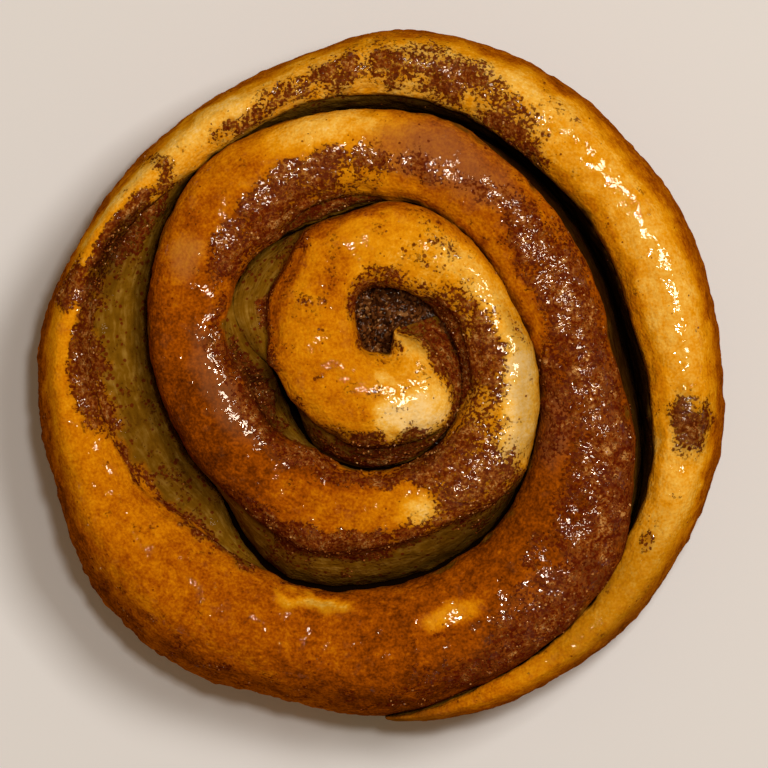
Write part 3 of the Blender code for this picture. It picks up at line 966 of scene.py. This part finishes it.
@dataclass(frozen=True)
class BakedDough:
    """Baked enriched dough under a thin sugar syrup: browned crust, wet cinnamon and small glints.

    Bread crust is a rough dielectric that throws back little light on its own. The syrup dries to
    a clear, smooth film over a bumpy skin, with an IOR near 1.45, and gives the eye small, broken
    glints.

    Browning runs from pale to dark and crumb from dark to light. Spice runs from painted shade in
    the gaps between grains to painted light on their tops. A name in _mm is the size of a feature,
    and a pair of them its length and width. Other pairs are a multiplier and an offset, or where a
    fade starts and ends. Blotches are rows of size and swing in browning.
    Ripples are rows of size, twist and depth of the film's bumps: everywhere, where it is wavy,
    where it is still, and on heaps of spice.
    """

    browning: Stops = (
        (0.0, "#F5DC9C"), (0.18, "#EDC152"), (0.36, "#DF9C11"), (0.55, "#C47A05"),
        (0.72, "#9C5003"), (0.86, "#6C3301"), (1.0, "#421B01"),
    )
    crumb: Stops = ((0.3, "#5E3F07"), (0.5, "#76540D"), (0.7, "#9A7A33"))
    # From painted shade in the gaps between grains to painted light on their tops
    spice: Stops = (
        (0.0, "#4E1404"), (0.3, "#602206"), (0.5, "#783B10"), (0.72, "#8E541C"), (1.0, "#C4965A"),
    )
    freckle: str = "#5E2006"
    stain: str = "#5C2808"
    # Soaked filling, near-black, which also paints the shade in the cracks
    soaked_and_shaded: str = "#240D03"
    # Dried syrup's tint, greyed to paint the sheen of its film
    syrup_tint_and_sheen: str = "#8E5B38"
    blotches: Keys = ((4.5, 0.32), (1.2, 0.34), (0.42, 0.4))
    fibre_mm: Range = (4.0, 0.5)
    fibre_swing: float = 0.16
    pore_mm: float = 1.6
    pore_fibres: float = 0.55
    stain_reach: Range = (0.1, 0.9)
    stain_most: float = 0.6
    veil_share: float = 0.6
    grain_mm: float = 0.54
    grain_tone: Range = (2.6, -0.82)
    clump_mm: float = 1.8
    clump_tone: Range = (1.7, -0.85)
    stray_reach: Range = (0.1, 0.6)
    stray_tone: float = 0.4
    cover_spice: float = 1.15
    cover_clumps: float = 0.8
    cover_grains: float = 3.8
    cover_edge: Range = (0.58, 0.78)
    full_spice: float = 0.4
    full_cover: float = 0.94
    freckle_mm: float = 1.05
    freckle_walls: float = 0.42
    freckle_spice: float = 1.2
    freckle_draw: Range = (0.74, 1.2)
    freckle_radius: Range = (-0.2, 0.14)
    freckle_grit: float = 0.45
    freckle_edge: float = 0.1
    freckle_cover: float = 0.85
    wet_mm: float = 2.2
    wet_gloss: float = 0.34
    wet_spice: float = 0.1
    wet_edge: Range = (0.65, 0.7)
    wavy_gloss: Range = (0.3, 0.2)
    wavy_heaps: float = 0.6
    ripples: Triples = ((2.6, 0.0, 0.32), (1.1, 0.8, 0.2), (0.5, 0.0, 0.12), (0.9, 0.0, 0.2))
    streak_mm: Range = (7.0, 1.5)
    streak_deep: float = 0.2
    skin_deep: float = 0.17
    roughness: float = 0.6
    ior: float = 1.45
    coat_roughness: float = 0.05

    def material(self) -> bpy.types.Material:
        """Build the crust, each layer of colour over the one before.

        They are the browning, the crumb, the stain round the spice, dried syrup's tint with a
        painted sheen, freckles, spice, and where the filling has soaked in, whose dark tone also
        paints the shade in the cracks.

        Returns:
            The finished material.
        """
        tree = NodeTree("baked_enriched_dough")
        bake, spice, syrup, shelter, bare, dry, gloss, soak_and_shade = (
            tree.add("Attribute", output="Fac", attribute_name=name)
            for name in ("bake", "spice", "syrup", "shelter", "crumb", "dry", "gloss", "soak_and_shade")
        )
        fibres = self.fibres(tree, self.fibre_mm, 4.0)
        pores = tree.add("TexNoise", tree.pattern(self.pore_mm, Detail=4.0))
        blend = tree.add("Mix", {0: self.pore_fibres, 2: pores, 3: fibres}, 0)
        crumb = tree.add("ValToRGB", (blend,), stops=self.crumb)
        stain = tree.add("MapRange", (spice, *self.stain_reach, 0.0, self.stain_most))
        veil = tree.add("Math", (syrup, self.veil_share), operation="MULTIPLY")
        grit = tree.add("TexNoise", tree.pattern(self.grain_mm, Detail=2.5))
        dots = self.freckles(tree, shelter, spice, grit)
        clumps, cover = self.spice_cover(tree, spice, grit)
        tone = self.spice_tone(tree, spice, grit, clumps)
        colour = self.crust(tree, bake, fibres)
        # The syrup layer carries a painted sheen, and the soaked layer painted shade in the cracks
        for share, layer in (
            (bare, crumb), (stain, self.stain), (veil, self.syrup_tint_and_sheen), (dots, self.freckle),
            (cover, tone), (soak_and_shade, self.soaked_and_shaded),
        ):
            colour = tree.add("Mix", {0: share, 6: colour, 7: layer}, 2, data_type="RGBA")
        wet = tree.add("TexNoise", tree.pattern(self.wet_mm, Detail=2.0))
        for layer, amount in ((gloss, self.wet_gloss), (cover, self.wet_spice)):
            wet = tree.add("Math", (layer, amount, wet), operation="MULTIPLY_ADD")
        coat = tree.add("MapRange", (wet, *self.wet_edge))
        moist = tree.add("MapRange", {"Value": dry, "To Min": 1.0, "To Max": 0.0})
        heaps = tree.add("Math", (cover, syrup), operation="SUBTRACT", use_clamp=True)
        film, skin = self.relief(tree, grit, heaps, gloss)
        return tree.surface(
            Base_Color=colour, Roughness=self.roughness, IOR=self.ior, Specular_IOR_Level=0.0,
            Coat_Weight=tree.add("Math", (coat, moist), operation="MULTIPLY"),
            Coat_Roughness=self.coat_roughness, Coat_IOR=self.ior, Coat_Normal=film, Normal=skin,
        )

    def fibres(self, tree: NodeTree, sizes: Range, detail: float) -> Socket:
        """Noise stretched along the strip, from the mesh's own lengths along and across it.

        Args:
            tree: The material's tree.
            sizes: Length and width of a fibre, in millimetres.
            detail: How many finer layers the noise has.

        Returns:
            The fibres, about 0.5.
        """
        along, over = (
            tree.add("Attribute", output="Fac", attribute_name=name) for name in ("along", "over")
        )
        place = tree.add("CombineXYZ", tuple(
            tree.add("Math", (length, per_mm(size)), operation="MULTIPLY")
            for length, size in zip((along, over), sizes)
        ))
        inputs = {"Vector": place, "Scale": 1.0, "Detail": detail, "Distortion": 0.6}
        return tree.add("TexNoise", inputs)

    def crust(self, tree: NodeTree, bake: Socket, fibres: Socket) -> Socket:
        """Colour of the crust: the browning ramp at the mapped bake plus fibres and blotches.

        Args:
            tree: The material's tree.
            bake: The mapped browning.
            fibres: The fibres' pattern.

        Returns:
            The crust's colour.
        """
        amount = self.fibre_swing
        swing = tree.add("Math", (fibres, amount, -amount / 2), operation="MULTIPLY_ADD")
        total = tree.add("Math", (bake, swing), operation="ADD")
        for size, amount in self.blotches:
            noise = tree.add("TexNoise", tree.pattern(size, Detail=4.0))
            swing = tree.add("Math", (noise, amount, -amount / 2), operation="MULTIPLY_ADD")
            total = tree.add("Math", (total, swing), operation="ADD", use_clamp=True)
        return tree.add("ValToRGB", (total,), stops=self.browning)

    def freckles(self, tree: NodeTree, shelter: Socket, spice: Socket, grit: Socket) -> Socket:
        """Stray specks of spice: a ragged dot in one cell of four, and in more on walls and spice.

        Each cell draws a number, raised by shelter and spice. The dot's radius grows with it, and
        the grit makes its edge ragged.

        Args:
            tree: The material's tree.
            shelter: 1 on the walls of the cracks.
            spice: The mapped spice.
            grit: The grains' pattern.

        Returns:
            The freckles' cover, 0 between them.
        """
        cell = tree.pattern(self.freckle_mm)
        far = tree.add("TexVoronoi", cell, "Distance")
        draw = tree.add("SeparateColor", (tree.add("TexVoronoi", cell, "Color"),), 2)
        for layer, amount in ((shelter, self.freckle_walls), (spice, self.freckle_spice)):
            draw = tree.add("Math", (layer, amount, draw), operation="MULTIPLY_ADD")
        radius = tree.add("MapRange", (draw, *self.freckle_draw, *self.freckle_radius))
        radius = tree.add("Math", (grit, self.freckle_grit, radius), operation="MULTIPLY_ADD")
        inside = tree.add("Math", (radius, far), operation="SUBTRACT")
        return tree.add("MapRange", (inside, 0.0, self.freckle_edge, 0.0, self.freckle_cover))

    def spice_cover(self, tree: NodeTree, spice: Socket, grit: Socket) -> tuple[Socket, Socket]:
        """Where spice lies: where the mapped spice plus clumps and single grains is high enough.

        Little mapped spice gives thin cover, and enough of it nearly full cover.

        Args:
            tree: The material's tree.
            spice: The mapped spice.
            grit: The grains' pattern.

        Returns:
            The clumps' pattern, and the cover from 0 to 1.
        """
        clumps = tree.add("TexNoise", tree.pattern(self.clump_mm, Detail=3.0, Roughness=0.6))
        amount = self.cover_clumps
        swing = tree.add("Math", (clumps, amount, -amount / 2), operation="MULTIPLY_ADD")
        level = tree.add("Math", (spice, self.cover_spice, swing), operation="MULTIPLY_ADD")
        amount = -self.cover_grains
        swing = tree.add("Math", (grit, amount, -amount / 2), operation="MULTIPLY_ADD")
        level = tree.add("Math", (level, swing), operation="ADD")
        most = tree.add("MapRange", (spice, 0.0, self.full_spice, 0.0, self.full_cover))
        return clumps, tree.add("MapRange", (level, *self.cover_edge, 0.0, most))

    def spice_tone(self, tree: NodeTree, spice: Socket, grit: Socket, clumps: Socket) -> Socket:
        """Colour of the spice: its ramp at the tone of the grains plus that of the clumps.

        Its dark end is painted shade in the gaps between grains and clumps, and its light end
        painted light on their tops. Stray grains are no darker than the given tone, so that they
        show as brown and not black.

        Args:
            tree: The material's tree.
            spice: The mapped spice.
            grit: The grains' pattern.
            clumps: The clumps' pattern.

        Returns:
            The spice's colour.
        """
        grains = tree.add("Math", (grit, *self.grain_tone), operation="MULTIPLY_ADD")
        shade = tree.add("Math", (clumps, *self.clump_tone), operation="MULTIPLY_ADD")
        swing = tree.add("Math", (grains, shade), operation="ADD")
        stray = tree.add("MapRange", (spice, *self.stray_reach, self.stray_tone, 0.0))
        swing = tree.add("Math", (swing, stray), operation="MAXIMUM", use_clamp=True)
        return tree.add("ValToRGB", (swing,), stops=self.spice)

    def relief(
        self, tree: NodeTree, grit: Socket, heaps: Socket, gloss: Socket
    ) -> tuple[Socket, Socket]:
        """Bumps of the syrup's film, and over them the skin's finer grain.

        The film follows the skin's ripples, has streaks along the strip where it is wet, and lies
        thin over the heaps of spice, so it takes their bumps.

        Args:
            tree: The material's tree.
            grit: The grains' pattern.
            heaps: How far the spice stands out of the syrup.
            gloss: How wet the surface is, which wrinkles the film.

        Returns:
            The normals of the film and of the skin.
        """
        wavy = tree.add("Math", (gloss, *self.wavy_gloss), operation="MULTIPLY_ADD")
        wavy = tree.add("Math", (heaps, self.wavy_heaps, wavy), operation="MULTIPLY_ADD")
        still = tree.add("Math", (1.0, gloss), operation="SUBTRACT")
        film = None
        for (size, twist, deep), share in zip(self.ripples, (None, wavy, still, heaps)):
            height = tree.add("TexNoise", tree.pattern(size, Detail=0.0, Distortion=twist))
            if share:
                height = tree.add("Math", (height, share), operation="MULTIPLY")
            film = self.bumped(tree, height, deep, film)
        streaks = self.fibres(tree, self.streak_mm, 0.0)
        streaks = tree.add("Math", (streaks, wavy), operation="MULTIPLY")
        film = self.bumped(tree, streaks, self.streak_deep, film)
        return film, self.bumped(tree, grit, self.skin_deep, film)

    @staticmethod
    def bumped(tree: NodeTree, height: Socket, deep_mm: float, under: Socket | None) -> Socket:
        """The normal of a relief this deep, over the normal of what lies under it.

        Args:
            tree: The material's tree.
            height: The relief, from 0 to 1.
            deep_mm: Its depth in millimetres.
            under: The normal that it adds to, if any.

        Returns:
            The normal.
        """
        below = {"Normal": under} if under else {}
        inputs = {"Strength": 1.0, "Distance": deep_mm * MM, "Height": height, **below}
        return tree.add("Bump", inputs)


@dataclass(frozen=True)
class CinnamonPaste:
    """Cinnamon and sugar paste: dark brown grit, wet with melted butter and sugar.

    The grit is matt and the sugar between it is wet, so the eye sees dark brown with pinpoint
    glints. Each cell of a pattern is one grain with a round back.
    """

    tones: Stops = ((0.0, "#1E0B03"), (0.5, "#3E1E08"), (0.85, "#643B1A"), (1.0, "#90693C"))
    # The paste in the cracks, painted near-black as their shade
    crack_shade_tone: str = "#0E0603"
    grain_mm: float = 0.45
    grain_deep: float = 0.2
    grain_strength: float = 0.9
    roughness: float = 0.6
    ior: float = 1.45
    wet_share: float = 0.3
    coat_roughness: float = 0.08

    def material(self) -> bpy.types.Material:
        """Build the paste from grains of many browns, drier outside the pit.

        Outside the pit, in the cracks, it is painted near-black as the cracks' shade.

        Returns:
            The finished material.
        """
        tree = NodeTree("cinnamon_sugar_paste")
        cell = tree.pattern(self.grain_mm)
        lot = tree.add("SeparateColor", (tree.add("TexVoronoi", cell, "Color"),))
        far = tree.add("TexVoronoi", cell, "Distance")
        back = tree.add("Math", (1.0, far), operation="SUBTRACT")
        bump = {"Strength": self.grain_strength, "Distance": self.grain_deep * MM, "Height": back}
        normal = tree.add("Bump", bump)
        pit = tree.add("Attribute", output="Fac", attribute_name="pit")
        tone = tree.add("ValToRGB", (lot,), stops=self.tones)
        return tree.surface(
            Base_Color=tree.add("Mix", {0: pit, 6: self.crack_shade_tone, 7: tone}, 2, data_type="RGBA"),
            Roughness=self.roughness, IOR=self.ior, Specular_IOR_Level=0.0,
            Coat_Weight=tree.add("Math", (pit, self.wet_share), operation="MULTIPLY"),
            Coat_Roughness=self.coat_roughness, Coat_Normal=normal, Normal=normal,
        )


@dataclass(frozen=True)
class GrainFinish:
    """The finish of loose grains, whose tone varies from grain to grain."""

    name: str
    tones: Stops
    roughness: float
    coat: float
    ior: float
    shine: float = 0.0
    coat_roughness: float = 0.12
    grit_mm: float = 0.12
    grit_deep: float = 0.03
    grit_strength: float = 0.6

    def material(self) -> bpy.types.Material:
        """Build the finish from the grains' own tone values.

        Returns:
            The finished material.
        """
        tree = NodeTree(self.name)
        lot = tree.add("Attribute", output="Fac", attribute_name="tone")
        grit = tree.add("TexNoise", tree.pattern(self.grit_mm, Detail=2.0))
        bump = {"Strength": self.grit_strength, "Distance": self.grit_deep * MM, "Height": grit}
        return tree.surface(
            Base_Color=tree.add("ValToRGB", (lot,), stops=self.tones), Roughness=self.roughness,
            IOR=self.ior, Specular_IOR_Level=self.shine, Coat_Weight=self.coat,
            Coat_Roughness=self.coat_roughness, Normal=tree.add("Bump", bump),
        )


class Finish(Enum):
    """The finishes of the roll's pieces."""

    DOUGH = BakedDough()
    PASTE = CinnamonPaste()
    # Ground bark is matt, and the butter on it gives a weak sheen
    CINNAMON = GrainFinish(
        "ground_cinnamon", ((0.0, "#5A2608"), (0.6, "#783C12"), (1.0, "#9C6430")),
        roughness=0.6, coat=0.2, ior=1.45,
    )
    # Sugar's own IOR is 1.54, and half-melted crystals are clear amber
    SUGAR = GrainFinish(
        "half_melted_sugar", ((0.0, "#7A4214"), (0.6, "#A06A32"), (1.0, "#CCA068")),
        roughness=0.3, coat=0.7, ior=1.54,
    )


@dataclass
class LooseGrains:
    """Grains scattered on a surface and joined in one mesh: small many-sided lumps.

    Each is turned at random. Sink is the share of its size that lies under the surface, shrink the
    range of its size, stretch that of its three widths, and dent that of its corners' distances.
    """

    name: str
    count: int
    size_mm: Range
    sink: float
    seed: int
    cube: bool = False
    spread_mm: float = 0.22
    shrink: Range = (0.8, 1.0)
    stretch: Range = (0.65, 1.15)
    dent: Range = (0.85, 1.15)

    def lump(self) -> tuple[FloatArray, FloatArray]:
        """One lump of size 1: an icosahedron, or a cube for a crystal.

        An icosahedron's corners are (0, 1, golden ratio) with any signs, turned through the axes.
        Its faces are all the trios of corners that are one edge apart, and its edges are 2 long.

        Returns:
            The corners, and the faces as rows of their numbers.
        """
        if self.cube:
            corners = np.array(list(np.ndindex(2, 2, 2)), float) - 0.5
            faces = [
                (0, 1, 3, 2), (4, 6, 7, 5), (0, 4, 5, 1), (2, 3, 7, 6), (0, 2, 6, 4), (1, 5, 7, 3),
            ]
            return corners, np.array(faces)
        golden = (1 + math.sqrt(5)) / 2
        signs = [(a, b) for a in (-1, 1) for b in (-1, 1)]
        corners = np.array(
            [(0, a, b * golden) for a, b in signs] + [(a, b * golden, 0) for a, b in signs]
            + [(a * golden, 0, b) for b, a in signs], float
        )
        # A little over the length of an edge, and well under the next distance
        near = np.linalg.norm(corners[:, None] - corners[None], axis=-1) < 2.1
        faces = np.array([
            (i, j, k) for i, j, k in combinations(range(len(corners)), 3)
            if near[i, j] and near[j, k] and near[i, k]
        ])
        a, b, c = (corners[faces[:, n]] for n in range(3))
        inward = np.einsum("ij,ij->i", np.cross(b - a, c - a), a + b + c) < 0
        faces[inward] = faces[inward][:, ::-1]
        return corners / (2 * np.linalg.norm(corners[0])), faces

    def build(
        self, points: FloatArray, normals: FloatArray, weights: FloatArray
    ) -> bpy.types.Object:
        """Scatter the grains with a chance in proportion to the weights, each sunk a little.

        Args:
            points: Where a grain may lie, in millimetres.
            normals: The surface's normal at each point.
            weights: The chance of each point.

        Returns:
            The joined grains, with a random tone for each.
        """
        draw = np.random.default_rng(self.seed)
        chosen = draw.choice(len(points), self.count, p=weights / weights.sum())
        size = draw.uniform(*self.size_mm, self.count)
        size = size * draw.uniform(*self.shrink, self.count)
        spread = draw.normal(0, self.spread_mm, (self.count, 3))
        normal = normals[chosen]
        spread -= np.einsum("ij,ij->i", spread, normal)[:, None] * normal
        middle = points[chosen] + spread + normal * (size * (0.5 - self.sink))[:, None]
        corners, faces = self.lump()
        turn = self.rotations(draw.normal(size=(self.count, 4)))
        stretch = draw.uniform(*self.stretch, (self.count, 3))
        shapes = corners[None] * (stretch * size[:, None])[:, None]
        shapes = shapes * draw.uniform(*self.dent, (self.count, len(corners), 1))
        shapes = np.einsum("nij,nkj->nki", turn, shapes) + middle[:, None]
        numbers = faces[None] + (np.arange(self.count) * len(corners))[:, None, None]
        numbers = numbers.reshape(-1, faces.shape[1])
        tone = np.repeat(draw.uniform(0, 1, self.count), len(corners))
        obj = new_mesh_object(self.name, shapes.reshape(-1, 3), [numbers], {"tone": tone})
        obj.data.shade_flat()
        return obj

    @staticmethod
    def rotations(quaternions: FloatArray) -> FloatArray:
        """Rotation matrices of quaternions, which needn't be unit length.

        Args:
            quaternions: One row of w, x, y and z for each matrix.

        Returns:
            One 3 by 3 matrix for each row.
        """
        w, x, y, z = (quaternions / np.linalg.norm(quaternions, axis=1, keepdims=True)).T
        rows = [
            [1 - 2 * (y * y + z * z), 2 * (x * y - w * z), 2 * (x * z + w * y)],
            [2 * (x * y + w * z), 1 - 2 * (x * x + z * z), 2 * (y * z - w * x)],
            [2 * (x * z - w * y), 2 * (y * z + w * x), 1 - 2 * (x * x + y * y)],
        ]
        return np.moveaxis(np.array(rows), -1, 0)


@dataclass
class Filling:
    """The filling: a plug in the pit at the middle, and the layer between the turns.

    Sizes are in millimetres. The pit ends, and the plug with it, at the turns that are given.
    """

    winding: Winding
    noise: SolidNoise
    thickness: float = 1.5
    base: float = 0.5
    end_turn: float = 2.2
    stations: int = 1500
    plug_rings: int = 44
    grit_height: float = 0.6
    grit_length: float = 1.3
    heap_height: float = 1.2
    heap_length: float = 3.4
    pit_end: Range = (0.08, 0.2)
    plug_end: float = 0.01
    pole_radius: float = 0.02
    sink: float = 0.6
    grain_chance: float = 0.35

    def build(
        self, shift: FloatArray
    ) -> tuple[bpy.types.Object, FloatArray, FloatArray, FloatArray]:
        """Make the layer as a closed ribbon on edge, with the plug as a disc of rings joined to it.

        The ribbon's section is a loop: up the inside, over the top and down the outside. Before the
        strip starts, its inside is drawn to the pole, so the same loop makes the plug.

        Args:
            shift: What moves the filling to its place, in millimetres.

        Returns:
            The object, and the points and normals of its top with the chance of a grain on each.
        """
        shape = self.winding
        turns = np.linspace(shape.start_turn - 1, self.end_turn, self.stations)
        path, height = shape.crack(turns), between_keys(shape.floor_height, turns)
        half = self.thickness / 2
        layer = turns >= self.plug_end
        inside = np.where(layer, path - half, self.pole_radius)
        share = np.linspace(0, 1, self.plug_rings)
        radius = inside[:, None] + (path + half - inside)[:, None] * share
        pit = 1 - smooth_step(*self.pit_end, turns)[:, None]
        top = shape.place(turns[:, None], radius, height[:, None] - self.sink * (1 - pit))
        grit = self.noise.layered(top + GRIT, self.grit_length, 2)
        heaps = self.noise.layered(top + HEAPS, self.heap_length, 2)
        top[..., 2] += pit * (self.grit_height * grit + self.heap_height * heaps)
        low = top * [1, 1, 0] + [0, 0, self.base]
        ring = np.concatenate([low[:, :1], top, low[:, -1:]], axis=1) + shift
        around = ring.shape[1]
        first, last = np.arange(around), np.arange(around) + (len(turns) - 1) * around
        faces = [tube_faces(len(turns), around), first[None, ::-1], last[None, :]]
        spread = np.broadcast_to(pit, ring.shape[:2])
        obj = new_mesh_object("cinnamon_paste", ring.reshape(-1, 3), faces, {"pit": spread})
        grid = SurfaceGrid(turns, share, top + shift)
        chance = self.grain_chance * pit * grid.cell_areas()
        return obj, grid.points, -grid.normals(), chance


@dataclass(frozen=True)
class Lamp:
    """A square area light that points at the roll, in metres and watts."""

    name: str
    place: tuple[float, float, float]
    side: float
    power: float
    colour: str = "#FFEBD2"

    def build(self) -> None:
        """Add the light."""
        data = bpy.data.lights.new(self.name, "AREA")
        data.size = self.side
        data.energy = self.power
        data.color = linear(self.colour)[:3]
        obj = bpy.data.objects.new(self.name, data)
        obj.location = self.place
        obj.rotation_euler = (-Vector(self.place)).to_track_quat("-Z", "Y").to_euler()
        bpy.context.scene.collection.objects.link(obj)


@dataclass
class Studio:
    """The pale floor, the soft light and the camera above the roll.

    The camera is this distance above the floor, in metres, and sees the given width at the height
    where the roll is widest.
    """

    distance: float = 2.0
    width_mm: float = 122.9
    centre_mm: Range = (0.4, -1.3)
    widest_mm: float = 15.5
    sensor_mm: float = 36.0
    floor_colour: str = "#DCEAFF"
    floor_roughness: float = 0.9
    floor_radius_mm: float = 3000.0
    floor_sides: int = 64
    sky: str = "#FFCC94"
    sky_strength: float = 0.25
    lamps: tuple[Lamp, ...] = (
        Lamp("window", (0.34, 0.22, 1.05), 0.26, 6.9),
        Lamp("ceiling_lamp", (0.08, 0.10, 1.2), 0.075, 3.9),
    )

    def build(self) -> None:
        """Add the floor, the lights, the sky and the camera."""
        self.floor()
        for lamp in self.lamps:
            lamp.build()
        world = bpy.data.worlds.new("studio")
        world.use_nodes = True
        background = world.node_tree.nodes["Background"]
        background.inputs["Color"].default_value = linear(self.sky)
        background.inputs["Strength"].default_value = self.sky_strength
        bpy.context.scene.world = world
        bpy.context.scene.view_settings.view_transform = "Standard"
        self.camera()

    def camera(self) -> None:
        """Add the camera, looking straight down, and make it the scene's."""
        data = bpy.data.cameras.new("overhead")
        data.sensor_width = self.sensor_mm
        reach = self.distance - self.widest_mm * MM
        data.lens = data.sensor_width * reach / (self.width_mm * MM)
        data.clip_end = 5 * self.distance
        camera = bpy.data.objects.new("overhead", data)
        camera.location = (self.centre_mm[0] * MM, self.centre_mm[1] * MM, self.distance)
        bpy.context.scene.collection.objects.link(camera)
        bpy.context.scene.camera = camera

    def floor(self) -> bpy.types.Object:
        """A wide pale disc under the roll, as a mesh at floor height.

        Returns:
            The floor's object.
        """
        angle = np.linspace(0, 2 * math.pi, self.floor_sides, endpoint=False)
        radius = self.floor_radius_mm
        rim = np.stack([radius * np.cos(angle), radius * np.sin(angle), 0 * angle], 1)
        obj = new_mesh_object("floor", rim, [np.arange(self.floor_sides)[None, :]], {})
        # Uncoated paper scatters light evenly, so the eye sees soft shade and no shine. Its tint is
        # bluish, because the lamps are warm and the floor has to look neutral
        paper = NodeTree("matt_white_paper").surface(
            Base_Color=self.floor_colour, Roughness=self.floor_roughness
        )
        obj.data.materials.append(paper)
        return obj


def dress(piece: bpy.types.Object, finish: Finish, node: str | None = None) -> None:
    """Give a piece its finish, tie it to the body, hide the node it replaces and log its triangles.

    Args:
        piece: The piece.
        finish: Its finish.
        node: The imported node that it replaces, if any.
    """
    piece.data.materials.append(finish.value.material())
    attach(piece, BODY)
    if node:
        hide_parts(node)
    faces = sum(len(p.vertices) - 2 for p in piece.data.polygons)
    LOG.info("%s: %d triangles", piece.name, faces)


def scatter_grains(grid: SurfaceGrid, fields: Fields, paste_top: Sequence[FloatArray]) -> None:
    """Scatter cinnamon and half-melted sugar where the spice lies on the dough, and in the pit.

    The chance of a grain is the square of the mapped spice, for each square millimetre.

    Args:
        grid: The dough's surface.
        fields: The bake map's values on it.
        paste_top: Points, normals and chances of the filling's top.
    """
    normals = grid.normals()
    seen = (grid.points[..., 2] > GRAINS_ABOVE) & (normals[..., 2] > GRAINS_SLOPE)
    seen &= np.abs(grid.across) < GRAINS_WITHIN
    chance = grid.cell_areas() * seen * fields["spice"] ** 2
    points = np.concatenate([grid.points.reshape(-1, 3), paste_top[0].reshape(-1, 3)])
    normals = np.concatenate([normals.reshape(-1, 3), paste_top[1].reshape(-1, 3)])
    chance = np.concatenate([chance.ravel(), paste_top[2].ravel()])
    kinds = {
        Finish.CINNAMON: LooseGrains(
            "cinnamon_grains", count=4400, size_mm=(0.22, 0.46), sink=0.55, seed=21
        ),
        Finish.SUGAR: LooseGrains(
            "sugar_crystals", count=600, size_mm=(0.22, 0.36), sink=0.45, seed=22, cube=True
        ),
    }
    for finish, grains in kinds.items():
        dress(grains.build(points, normals, chance), finish)


def main() -> None:
    """Build the roll's pieces in order, then the studio."""
    logging.basicConfig(level=logging.INFO, format="%(message)s")
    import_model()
    winding = Winding()
    noise = SolidNoise(NOISE_SEED)
    strip = DoughStrip(winding, BakeMap(winding), noise)
    plain, _ = strip.plain_grid()
    low, high = (np.array(corner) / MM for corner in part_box("dough"))
    shift = (low + high) / 2 - (plain.points.min((0, 1)) + plain.points.max((0, 1))) / 2
    shift[2] = 0.0
    dough, grid, fields = strip.build(shift)
    dress(dough, Finish.DOUGH, "dough")
    paste, *paste_top = Filling(winding, noise).build(shift)
    dress(paste, Finish.PASTE, "cinnamon_filling")
    scatter_grains(grid, fields, paste_top)
    Studio().build()


if __name__ == "__main__":
    main()
